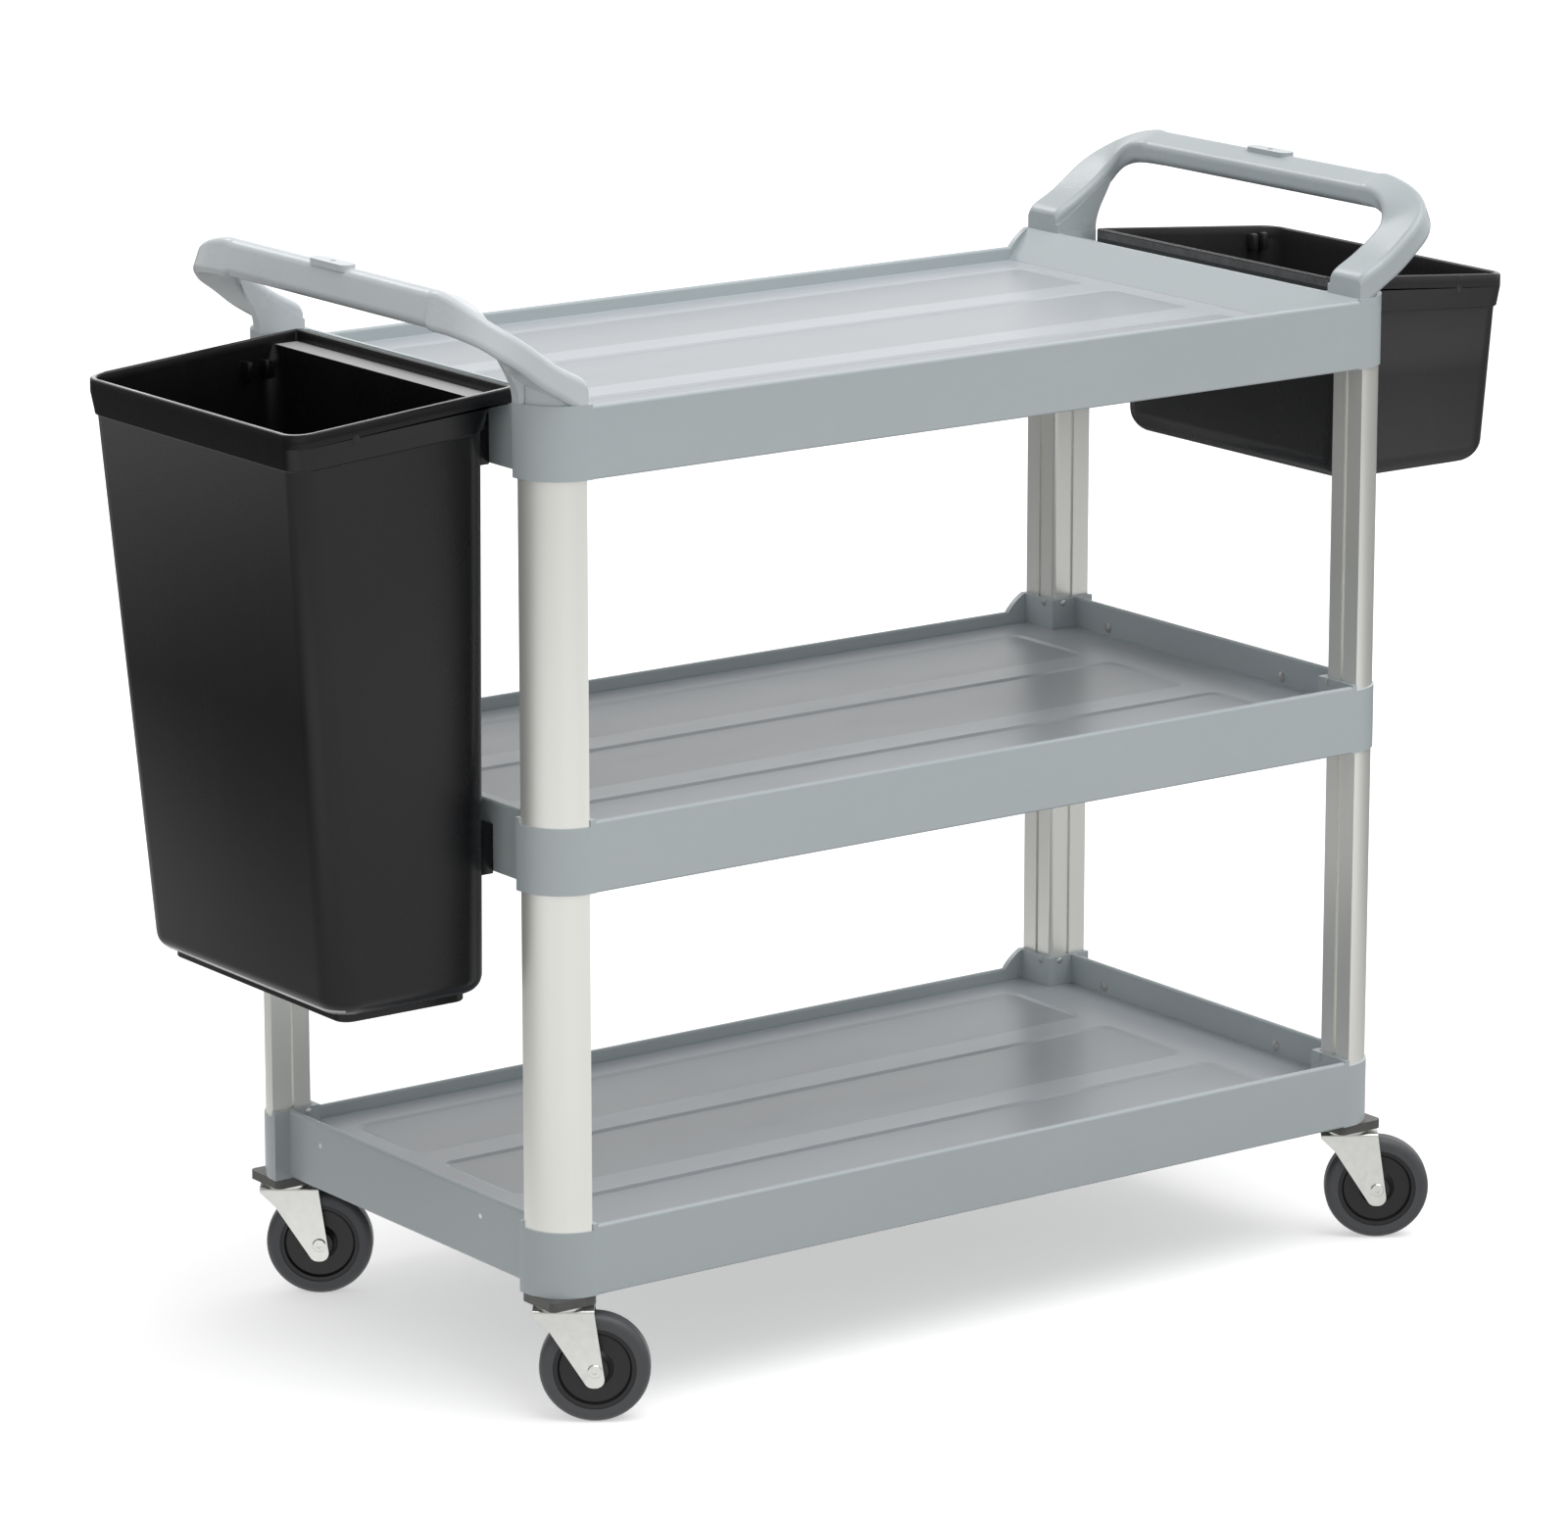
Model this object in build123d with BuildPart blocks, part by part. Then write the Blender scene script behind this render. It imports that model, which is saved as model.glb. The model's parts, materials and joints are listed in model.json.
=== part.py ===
from build123d import *
from math import asin, atan2, cos, radians, sin
import os

os.makedirs("parts", exist_ok=True)

# Shelves
shelf_length = 970.0
shelf_width = 508.0
corner_radius = 45.0
end_recess = 16.0
underside_height = 118.0
shelf_pitch = 369.3
corner_height = 66.5
front_wall_height = 65.0
back_wall_height = 49.5
end_wall_lift = 1.5
wall = 6.0
wall_top_round = 2.7
wall_foot_round = 2.0
floor_height = 37.0
floor_thickness = 4.0
panel_depth = 1.5
panel_length = 790.0
panel_gap = 36.0
middle_panel_width = 124.0
side_panel_width = 112.0
panel_corner = 8.0
panel_slope = 5.0
rib_thickness = 3.0
rib_depth = 20.0
cross_ribs = 5
long_ribs = 3
gusset_run = 22.0
gusset_bulge = 1.5
socket_wall = 5.4

# Top shelf ends
ridge_height = 59.0
ridge_wall = 4.0
ramp_run = 51.0
hook_slot_depth = 15.5

# Uprights
post_inset = 1.6
post_wall = 2.2
post_groove_at = 20.0
post_groove_width = 4.0
post_groove_depth = 2.0
post_apex_radius = 4.0
seat_below_rim = 6.0
spigot_height = 25.0
spigot_gap = 0.3

# Fasteners
screw_radius = 1.8
screw_head_radius = 3.2
screw_head_height = 1.4
screw_below_rim = 4.2
screw_from_apex = 8.0
rivet_radius = 2.4
rivet_head_radius = 5.0
rivet_head_height = 2.2
rivet_above_floor = 8.0
rivet_near = -117.0
rivet_far = 150.0
bolt_radius = 4.0
bolt_gap = 0.2
bolt_head_radius = 6.5
bolt_head_height = 5.3
bolt_grip = 12.0

# Handles
handle_reach = 528.0
bar_z = 1003.0
bar_corners = [(-8.0, -18.0), (8.5, -18.0), (20.0, 20.0), (-21.0, 13.0)]
bar_round = 8.0
bar_straight = 160.0
foot_length = 48.0
foot_width = 50.0
foot_height = 19.0
foot_inset = 4.0
leg_round = 6.0
grip_length = 60.0
grip_width = 16.0
grip_top = 1023.5
grip_drop = 6.0
grip_x = 536.0
grip_dimple_radius = 3.0
grip_dimple_depth = 1.0

# Casters
wheel_radius = 50.0
wheel_width = 25.0
core_radius = 37.5
core_dish = 4.0
core_rim = 4.0
hub_radius = 14.0
tread_round = 7.0
caster_trail = 31.0
caster_angle = 36.17
fork_sheet = 2.6
fork_arm_gap = 2.4
fork_top_back = 24.0
fork_top_front = 31.0
fork_end_radius = 11.0
fork_bend = 3.0
wheel_clearance = 3.6
running_gap = 0.3
axle_radius = 4.0
axle_head_radius = 6.5
axle_head_height = 1.8
axle_dimple_radius = 2.5
axle_dimple_depth = 0.8
bore_gap = 0.06
kingpin_radius = 4.5
kingpin_head_radius = 7.5
kingpin_head_height = 2.5
stem_radius = 5.5
stem_length = 48.0
stem_gap = 0.1
race_radius = 22.0
race_height = 3.0
pad_side = 50.0
pad_round = 6.0

# Bins
rim_outer_x = 690.0
rim_inner_x = 461.7
rim_outer_height = 911.0
rim_inner_height = 930.0
rim_width = 352.0
rim_round = 20.0
collar_height = 33.0
collar_step = 2.5
bin_wall = 3.0
bin_back_x = 488.0
bin_back_round = 6.0
hook_gap = 0.3
hook_drop = 14.0
standoff_width = 22.0
standoff_spacing = 134.0
standoff_height = 46.0
refuse_bottom = 389.0
refuse_bottom_outer_x = 640.0
refuse_bottom_width = 310.0
refuse_bottom_round = 30.0
refuse_edge_round = 16.0
refuse_foot_height = 8.0
refuse_foot_inset = 15.0
utility_bottom = 738.0
utility_bottom_back_x = 500.0
utility_bottom_outer_x = 665.0
utility_bottom_width = 310.0
utility_edge_round = 22.0
notch_x = 627.0
notch_width = 6.0
notch_depth = 14.0
lug_width = 5.0
lug_height = 12.0
lug_depth = 4.0
lug_spacing = 18.0
lug_drop = 4.0

half_length = shelf_length / 2
half_width = shelf_width / 2
arc_x = half_length - corner_radius
arc_y = half_width - corner_radius
socket_x = arc_x - socket_wall
socket_y = arc_y - socket_wall
end_x = half_length - end_recess
post_radius = corner_radius - post_inset
post_void = post_groove_depth + post_wall
seat_height = corner_height - seat_below_rim
post_length = shelf_pitch - seat_height
# The uprights' centre line is the casters' swivel axis too.
pivot_x = arc_x + 0.424 * post_radius
pivot_y = arc_y + 0.424 * post_radius
shelf_base = [underside_height + level * shelf_pitch for level in range(3)]
top_base = shelf_base[2]
corners = [("front_left", -1, -1), ("front_right", 1, -1), ("back_left", -1, 1), ("back_right", 1, 1)]
corner_spots = [(sx * half_length, sy * half_width) for _, sx, sy in corners]
pivots = [(sx * pivot_x, sy * pivot_y) for _, sx, sy in corners]


def save(part, name):
    part.label = name
    export_step(part, f"parts/{name}.step")


def quarter(side, radius, sx, sy):
    """Quarter disc that opens outward at a corner, with its straight sides set in by side."""
    reach = (radius**2 - side**2) ** 0.5
    middle = radius * sin(radians(45))
    with BuildSketch() as face:
        with BuildLine():
            Line((sx * side, sy * side), (sx * reach, sy * side))
            ThreePointArc((sx * reach, sy * side), (sx * middle, sy * middle), (sx * side, sy * reach))
            Line((sx * side, sy * reach), (sx * side, sy * side))
        make_face()
    return Pos(sx * arc_x, sy * arc_y) * face.sketch


def stud(shank_radius, shank_length, head_radius, head_height):
    """Fastener along Z: the shank starts at the origin and a domed head ends it."""
    rim = shank_length + 0.3 * head_height
    top = shank_length + head_height
    dome = (head_radius**2 + (top - rim) ** 2) / (2 * (top - rim))
    half_angle = asin(head_radius / dome) / 2
    crown = (dome * sin(half_angle), top - dome + dome * cos(half_angle))
    with BuildPart() as piece:
        with BuildSketch(Plane.XZ):
            with BuildLine():
                Polyline((0, 0), (shank_radius, 0), (shank_radius, shank_length), (head_radius, shank_length))
                Line((head_radius, shank_length), (head_radius, rim))
                ThreePointArc((head_radius, rim), crown, (0, top))
                Line((0, top), (0, 0))
            make_face()
        revolve(axis=Axis.Z)
    return piece.part


def wall_section(thickness, height):
    """Upright wall section that stands on the origin, rounded at the top and the foot."""
    with BuildSketch() as face:
        with Locations((0, height / 2)):
            Rectangle(thickness, height)
        fillet(face.vertices().group_by(Axis.Y)[-1], wall_top_round)
        fillet(face.vertices().group_by(Axis.Y)[0], wall_foot_round)
    return face.sketch


def shelf(base, level):
    """A moulded shelf: walls, floor with sunk panels, ribs below it, and four corner blocks."""
    under_floor = floor_height - floor_thickness
    inner_x = end_x - wall / 2
    inner_y = half_width - wall / 2
    with BuildPart() as moulding:
        # Corner blocks.
        with BuildSketch(Plane.XY.offset(base)):
            RectangleRounded(shelf_length, shelf_width, corner_radius)
            Rectangle(shelf_length, 2 * socket_y, mode=Mode.SUBTRACT)
            Rectangle(2 * socket_x, shelf_width, mode=Mode.SUBTRACT)
        extrude(amount=corner_height)
        # Front and back walls.
        with BuildSketch(Plane.YZ):
            with Locations((wall / 2 - half_width, base)):
                add(wall_section(wall, front_wall_height))
            with Locations((half_width - wall / 2, base)):
                add(wall_section(wall, back_wall_height))
        extrude(amount=socket_x, both=True)
        # Floor.
        with BuildSketch(Plane.XY.offset(base + under_floor)):
            Rectangle(2 * inner_x, 2 * socket_y)
            Rectangle(2 * socket_x, 2 * inner_y)
        extrude(amount=floor_thickness)
        # Gussets from the low back wall up to the corner blocks.
        with BuildSketch(Plane.XZ.offset(-half_width)):
            for side in (-1, 1):
                low = base + back_wall_height - wall_top_round
                middle_x = socket_x - gusset_run / 2 - gusset_bulge
                middle_z = (low + base + corner_height) / 2 + gusset_bulge
                with BuildLine():
                    ThreePointArc(
                        (side * (socket_x - gusset_run), low),
                        (side * middle_x, middle_z),
                        (side * socket_x, base + corner_height),
                    )
                    Line((side * socket_x, base + corner_height), (side * socket_x, low))
                    Line((side * socket_x, low), (side * (socket_x - gusset_run), low))
                make_face()
        extrude(amount=wall)
        # Ribs hang from the floor.
        with BuildSketch(Plane.XY.offset(base + under_floor)):
            with GridLocations(2 * socket_x / (cross_ribs - 1), 0, cross_ribs, 1):
                Rectangle(rib_thickness, 2 * inner_y)
            with GridLocations(0, shelf_width / (long_ribs + 1), 1, long_ribs):
                Rectangle(2 * inner_x, rib_thickness)
        extrude(amount=-rib_depth)
        # Sunk panels with sloping edges.
        panel_y = (middle_panel_width + side_panel_width) / 2 + panel_gap
        for y, width in ((-panel_y, side_panel_width), (0, middle_panel_width), (panel_y, side_panel_width)):
            with BuildSketch(Plane.XY.offset(base + floor_height - panel_depth)):
                with Locations((0, y)):
                    RectangleRounded(panel_length - 2 * panel_slope, width - 2 * panel_slope, panel_corner)
            with BuildSketch(Plane.XY.offset(base + floor_height)):
                with Locations((0, y)):
                    RectangleRounded(panel_length, width, panel_corner + panel_slope)
            loft(ruled=True, mode=Mode.SUBTRACT)
        # End walls, which on the top shelf are a ridge with a ramp behind it.
        if level == 2:
            slot_x = rim_inner_x - hook_gap
            with BuildSketch(Plane.XZ):
                for side in (-1, 1):
                    with BuildLine():
                        Polyline(
                            (side * end_x, base + end_wall_lift),
                            (side * end_x, base + ridge_height),
                            (side * (socket_x + ridge_wall), base + ridge_height),
                            (side * (socket_x + ridge_wall), base + corner_height),
                            (side * socket_x, base + corner_height),
                            (side * (slot_x - ramp_run), base + floor_height),
                            (side * (slot_x - ramp_run), base + under_floor),
                            (side * (end_x - wall), base + under_floor),
                            (side * (end_x - wall), base + end_wall_lift),
                            close=True,
                        )
                    make_face()
            extrude(amount=socket_y, both=True)
            # The ramp goes on to the front and back walls, up to the corner blocks.
            for side_y in (-1, 1):
                with BuildSketch(Plane.XZ.offset(-side_y * (socket_y - wall))):
                    for side in (-1, 1):
                        with BuildLine():
                            Polyline(
                                (side * (socket_x + wall), base + under_floor),
                                (side * (socket_x + wall), base + corner_height),
                                (side * socket_x, base + corner_height),
                                (side * (slot_x - ramp_run), base + floor_height),
                                (side * (slot_x - ramp_run), base + under_floor),
                                close=True,
                            )
                        make_face()
                extrude(amount=-side_y * (half_width - wall - socket_y + 1.5 * wall))
            slot_width = end_x - ridge_wall - slot_x
            with BuildSketch(Plane.XY.offset(base + ridge_height - hook_slot_depth)):
                for side in (-1, 1):
                    with Locations((side * (slot_x + slot_width / 2), 0)):
                        Rectangle(slot_width, rim_width + 4 * hook_gap)
            extrude(amount=hook_slot_depth, mode=Mode.SUBTRACT)
        else:
            with BuildSketch(Plane.XZ):
                for side in (-1, 1):
                    with Locations((side * (end_x - wall / 2), base + end_wall_lift)):
                        add(wall_section(wall, corner_height - end_wall_lift))
            extrude(amount=socket_y, both=True)
        # Sockets for the uprights that stand on this shelf, and spigots on both sides.
        for _, sx, sy in corners:
            plug = quarter(post_void + spigot_gap, post_radius - post_wall - spigot_gap, sx, sy)
            if level < 2:
                with BuildSketch(Plane.XY.offset(base + seat_height)):
                    add(quarter(-spigot_gap, corner_radius + 2 * wall, sx, sy))
                extrude(amount=corner_height, mode=Mode.SUBTRACT)
                with BuildSketch(Plane.XY.offset(base + seat_height)):
                    add(plug)
                extrude(amount=spigot_height)
            if level > 0:
                with BuildSketch(Plane.XY.offset(base)):
                    add(plug)
                extrude(amount=-spigot_height)
        # Bores for the caster stems or the handle bolts.
        if level == 0:
            with BuildSketch(Plane.XY.offset(base)):
                with Locations(*pivots):
                    Circle(stem_radius + stem_gap)
            extrude(amount=stem_length, mode=Mode.SUBTRACT)
        if level == 2:
            with BuildSketch(Plane.XY.offset(base - spigot_height)):
                with Locations(*pivots):
                    Circle(bolt_radius + bolt_gap)
            extrude(amount=spigot_height + corner_height, mode=Mode.SUBTRACT)
        else:
            # Screws through the socket walls into the uprights.
            for _, sx, sy in corners:
                height = base + corner_height - screw_below_rim
                with Locations(
                    Location((sx * arc_x, sy * (arc_y + screw_from_apex), height), (0, 90, 0)),
                    Location((sx * (arc_x + screw_from_apex), sy * arc_y, height), (90, 0, 0)),
                ):
                    Cylinder(screw_radius, 2 * socket_wall, mode=Mode.SUBTRACT)
            # Rivets through the end walls.
            height = base + floor_height + rivet_above_floor
            for side in (-1, 1):
                for y in (rivet_near, rivet_far):
                    with Locations(Location((side * end_x, y, height), (0, 90, 0))):
                        Cylinder(rivet_radius, 3 * wall, mode=Mode.SUBTRACT)
    return moulding.part


for level in range(3):
    save(shelf(shelf_base[level], level), ("shelf_bottom", "shelf_middle", "shelf_top")[level])

# Uprights: a hollow quarter-round extrusion with a groove in each flat side.
for tier in range(2):
    foot = shelf_base[tier] + seat_height
    for name, sx, sy in corners:
        groove = post_groove_at + post_groove_width / 2
        with BuildPart() as upright:
            with BuildSketch(Plane.XY.offset(foot)) as section:
                add(quarter(0, post_radius, sx, sy))
                apex = section.vertices().sort_by_distance((sx * arc_x, sy * arc_y, foot))[0]
                fillet(apex, post_apex_radius)
                with Locations((sx * (arc_x + groove), sy * arc_y)):
                    Rectangle(post_groove_width, 2 * post_groove_depth, mode=Mode.SUBTRACT)
                with Locations((sx * arc_x, sy * (arc_y + groove))):
                    Rectangle(2 * post_groove_depth, post_groove_width, mode=Mode.SUBTRACT)
                add(quarter(post_void, post_radius - post_wall, sx, sy), mode=Mode.SUBTRACT)
            extrude(amount=post_length)
        save(upright.part, f"upright_{('lower', 'upper')[tier]}_{name}")

# Screws at the uprights' sockets, whose shanks end at the uprights.
for level in range(2):
    height = shelf_base[level] + corner_height - screw_below_rim
    screw = stud(screw_radius, socket_wall - spigot_gap, screw_head_radius, screw_head_height)
    spots = []
    for _, sx, sy in corners:
        beside = sy * (arc_y + screw_from_apex)
        spots.append(Location((sx * (arc_x - spigot_gap), beside, height), (0, -90 * sx, 0)))
        beside = sx * (arc_x + screw_from_apex)
        spots.append(Location((beside, sy * (arc_y - spigot_gap), height), (90 * sy, 0, 0)))
    with BuildPart() as screws:
        for spot in spots:
            add(spot * screw)
    save(screws.part, f"socket_screws_{('bottom', 'middle')[level]}")

# Rivets through the short walls, just above the tray's floor.
for level in range(2):
    height = shelf_base[level] + floor_height + rivet_above_floor
    rivet = stud(rivet_radius, wall, rivet_head_radius, rivet_head_height)
    with BuildPart() as rivets:
        for side in (-1, 1):
            for y in (rivet_near, rivet_far):
                add(Location((side * end_x, y, height), (0, -90 * side, 0)) * rivet)
    save(rivets.part, f"wall_rivets_{('bottom', 'middle')[level]}")

# Handles: a straight bar, and two legs lofted down to feet that cover the top shelf's corners.
foot_end = half_length - foot_length
foot_y = half_width - foot_width / 2
foot_base = top_base + corner_height
# Centre, lean towards the bar and then towards the cart's middle, thickness and width of each section.
# Sections along a leg: the centre, the lean and tilt of its plane, and the corners in that plane,
# from the inner upper one around by the inner lower, the outer lower and the outer upper.
leg_stations = [
    (foot_end, 929, foot_y, 90, 0, (-11, -22), (14, -22), (14, 22), (-11, 22)),
    (foot_end + 8, 934, foot_y, 72, 0, (-12, -23.5), (15, -23.5), (15, 23.5), (-12, 23.5)),
    (foot_end + 25, 943, foot_y, 58, 0, (-12, -24), (14, -24), (13, 24), (-12, 24)),
    (foot_end + 45, 955, foot_y, 55, 0, (-12, -24), (11, -24), (13, 24), (-12, 24)),
    (foot_end + 65, 969.5, foot_y - 1, 56, 6, (-12, -24), (5.5, -23), (13, 23.5), (-12.5, 24)),
    (foot_end + 75, 978, foot_y - 5, 58, 20, (-12.5, -22.5), (4.5, -21.5), (15, 23.5), (-11.5, 24.5)),
    (foot_end + 82, 986, foot_y - 11, 64, 36, (-11.5, -22), (5.5, -20.5), (15.5, 22.5), (-11, 23)),
    (foot_end + 87, 993, foot_y - 21, 72, 54, (-11, -20), (7.5, -18), (16.5, 21), (-13.5, 20.5)),
    (foot_end + 90, 998.5, foot_y - 33, 80, 70, (-10, -19), (8, -17), (18.5, 19), (-16.5, 16.5)),
    (foot_end + 91, 1001.5, foot_y - 50, 86, 82, (-10, -18), (7, -17.5), (20, 19), (-19.5, 14.5)),
]
bar_end = Plane(origin=(handle_reach, bar_straight, bar_z), x_dir=(0, 0, -1), z_dir=(0, -1, 0))


def handle_leg():
    """The back leg of the right handle, from its foot to the end of the bar."""
    with BuildPart() as leg:
        for x, z, y, lean, tilt, *section_corners in leg_stations:
            out = (cos(radians(lean)), 0, -sin(radians(lean)))
            upward = sin(radians(lean)) * cos(radians(tilt)), cos(radians(lean)) * cos(radians(tilt))
            normal = (upward[0], -sin(radians(tilt)), upward[1])
            with BuildSketch(Plane(origin=(x, y, z), x_dir=out, z_dir=normal)) as station:
                with BuildLine():
                    Polyline(*section_corners, close=True)
                make_face()
                fillet(station.vertices(), leg_round)
        with BuildSketch(bar_end) as station:
            with BuildLine():
                Polyline(*bar_corners, close=True)
            make_face()
            fillet(station.vertices(), bar_round)
        loft()
        split(bisect_by=Plane.XY.offset(foot_base), keep=Keep.TOP)
    return leg.part


def handle_foot():
    """The web under the back leg of the right handle, with the corner block's round."""
    with BuildPart() as foot:
        with BuildSketch(Plane.XZ.offset(-half_width)):
            with BuildLine():
                Polyline(
                    (foot_end, foot_base),
                    (foot_end, foot_base + 8),
                    (foot_end + 12, foot_base + 14),
                    (foot_end + 70, foot_base + 55),
                )
                Spline(
                    (foot_end + 70, foot_base + 55),
                    (foot_end + 60, foot_base + 33),
                    (foot_end + 52, foot_base + 18),
                    (half_length, foot_base),
                )
                Line((half_length, foot_base), (foot_end, foot_base))
            make_face()
        extrude(amount=foot_width)
        with BuildSketch(Plane.XY.offset(foot_base)):
            with BuildLine():
                reach = corner_radius - foot_inset
                slant = reach * sin(radians(45))
                Line((foot_end, half_width - foot_width), (foot_end + 75, half_width - foot_width))
                Line((foot_end + 75, half_width - foot_width), (arc_x + reach, arc_y + 8))
                Line((arc_x + reach, arc_y + 8), (arc_x + reach, arc_y))
                ThreePointArc((arc_x + reach, arc_y), (arc_x + slant, arc_y + slant), (arc_x, arc_y + reach))
                Line((arc_x, arc_y + reach), (foot_end, arc_y + reach))
                Line((foot_end, arc_y + reach), (foot_end, half_width - foot_width))
            make_face()
        extrude(amount=4 * foot_height, mode=Mode.INTERSECT)
    return foot.part


with BuildPart() as handle:
    with BuildSketch(bar_end) as station:
        with BuildLine():
            Polyline(*bar_corners, close=True)
        make_face()
        fillet(station.vertices(), bar_round)
    extrude(amount=2 * bar_straight)
    for half in (handle_leg(), handle_foot()):
        add(half)
        add(mirror(half, about=Plane.XZ))
    with BuildSketch(Plane.XY.offset(foot_base)):
        with Locations((pivot_x, pivot_y), (pivot_x, -pivot_y)):
            Circle(bolt_radius)
    extrude(amount=bolt_grip, mode=Mode.SUBTRACT)
    # Raised thumb rest with a dimple, in the middle of the bar's top.
    with BuildSketch(Plane.XY.offset(grip_top - grip_drop)):
        with Locations((grip_x, 0)):
            SlotOverall(grip_length, grip_width, rotation=90)
    extrude(amount=grip_drop)
    with BuildSketch(Plane.XY.offset(grip_top)):
        with Locations((grip_x, 0)):
            Circle(grip_dimple_radius)
    extrude(amount=-grip_dimple_depth, mode=Mode.SUBTRACT)
save(handle.part, "handle_right")
save(mirror(handle.part, about=Plane.YZ), "handle_left")

# Bolts that hold the handles: the heads are inside the upper uprights.
bolt_start = top_base - spigot_height
with BuildPart() as bolts:
    with BuildSketch(Plane.XY.offset(bolt_start)):
        with Locations(*pivots):
            Circle(bolt_radius)
    extrude(amount=spigot_height + corner_height + bolt_grip)
    with BuildSketch(Plane.XY.offset(bolt_start)):
        with Locations(*pivots):
            RegularPolygon(bolt_head_radius, 6)
    extrude(amount=-bolt_head_height)
save(bolts.part, "handle_bolts")

# Casters, drawn once with the swivel axis on Z and the wheel trailing along +X.
crown_base = 2 * wheel_radius + wheel_clearance
crown_top = crown_base + fork_sheet
race_base = crown_top + running_gap
race_top = race_base + race_height
arm_inside = wheel_width / 2 + fork_arm_gap
arm_outside = arm_inside + fork_sheet

with BuildPart() as fork:
    # Side outline, through the whole width, and then the gap for the wheel.
    with BuildSketch(Plane.XZ):
        with BuildLine():
            Polyline(
                (-fork_top_back, crown_top),
                (-fork_top_back, crown_base - 2),
                (-fork_top_back + 14, wheel_radius + 38),
                (caster_trail - 6, wheel_radius - fork_end_radius - 5),
                (caster_trail + 10, wheel_radius - fork_end_radius - 5),
                (fork_top_front, crown_base),
                (fork_top_front, crown_top),
                close=True,
            )
        make_face()
    extrude(amount=arm_outside, both=True)
    ends = fork.edges().filter_by(Axis.Y)
    fillet(ends.group_by(Axis.Z)[0], fork_end_radius - 3)
    long_edges = fork.edges().filter_by(Axis.X).group_by(Axis.Z)[-1]
    fillet(long_edges, fork_bend)
    with BuildSketch(Plane.XY.offset(crown_base)):
        Rectangle(4 * wheel_radius, 2 * arm_inside)
    extrude(amount=-crown_base, mode=Mode.SUBTRACT)
    # Bearing cup on the crown.
    with BuildSketch(Plane.XY.offset(crown_base)):
        Circle(kingpin_radius + bore_gap)
    extrude(amount=fork_sheet, mode=Mode.SUBTRACT)
    with BuildSketch(Plane.XZ.offset(arm_outside)):
        with Locations((caster_trail, wheel_radius)):
            Circle(axle_radius)
    extrude(amount=-2 * arm_outside, mode=Mode.SUBTRACT)

with BuildPart() as stem:
    pin_foot = crown_base - running_gap
    with BuildSketch(Plane.XZ):
        with BuildLine():
            Polyline(
                (0, pin_foot - kingpin_head_height),
                (kingpin_head_radius - 1, pin_foot - kingpin_head_height),
                (kingpin_head_radius, pin_foot - kingpin_head_height + 1),
                (kingpin_head_radius, pin_foot),
                (kingpin_radius, pin_foot),
                (kingpin_radius, race_base),
                (race_radius, race_base),
                (race_radius, race_top),
                (stem_radius, race_top),
                (stem_radius, underside_height + stem_length - 1),
                (stem_radius - 1, underside_height + stem_length),
                (0, underside_height + stem_length),
                close=True,
            )
        make_face()
    revolve(axis=Axis.Z)

with BuildPart() as pad:
    with BuildSketch(Plane.XY.offset(race_top)):
        RectangleRounded(pad_side, pad_side, pad_round)
        Circle(stem_radius + stem_gap, mode=Mode.SUBTRACT)
    extrude(amount=underside_height - race_top)

# The wheel pieces turn about Z here, and are turned onto the axle below.
head_end = arm_outside + axle_head_height
with BuildPart() as axle_half:
    with BuildSketch(Plane.XZ):
        with BuildLine():
            Polyline(
                (0, 0),
                (axle_radius, 0),
                (axle_radius, arm_outside),
                (axle_head_radius, arm_outside),
                (axle_head_radius, head_end - 1),
                (axle_head_radius - 1, head_end),
                (axle_dimple_radius, head_end),
                (axle_dimple_radius, head_end - axle_dimple_depth),
                (0, head_end - axle_dimple_depth),
                close=True,
            )
        make_face()
    revolve(axis=Axis.Z)
    mirror(about=Plane.XY)

hub_half = arm_inside - running_gap
with BuildPart() as core:
    with BuildSketch(Plane.XZ):
        with BuildLine():
            Polyline(
                (axle_radius + bore_gap, 0),
                (axle_radius + bore_gap, hub_half),
                (hub_radius - 2, hub_half),
                (hub_radius, hub_half - 3),
                (hub_radius + 3, wheel_width / 2 - core_dish),
                (core_radius - core_rim - 2, wheel_width / 2 - core_dish),
                (core_radius - core_rim, wheel_width / 2 - 1),
                (core_radius, wheel_width / 2 - 1),
                (core_radius, 0),
                close=True,
            )
        make_face()
    revolve(axis=Axis.Z)
    mirror(about=Plane.XY)

with BuildPart() as tread:
    with BuildSketch(Plane.XZ) as tread_section:
        with Locations(((core_radius + wheel_radius) / 2, 0)):
            Rectangle(wheel_radius - core_radius, wheel_width)
        fillet(tread_section.vertices().group_by(Axis.X)[-1], tread_round)
    revolve(axis=Axis.Z)

to_axle = Location((caster_trail, 0, wheel_radius), (90, 0, 0))
for name, sx, sy in corners:
    # The hidden back right caster trails the other way, which centres the cart's footprint.
    turn = caster_angle if name == "back_right" else -caster_angle
    place = Location((sx * pivot_x, sy * pivot_y, 0), (0, 0, turn))
    save(Location((sx * pivot_x, sy * pivot_y, 0)) * pad.part, f"caster_pad_{name}")
    save(place * stem.part, f"caster_stem_{name}")
    save(place * fork.part, f"caster_fork_{name}")
    save(place * to_axle * axle_half.part, f"caster_axle_{name}")
    save(place * to_axle * core.part, f"wheel_core_{name}")
    save(place * to_axle * tread.part, f"wheel_tread_{name}")

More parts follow.
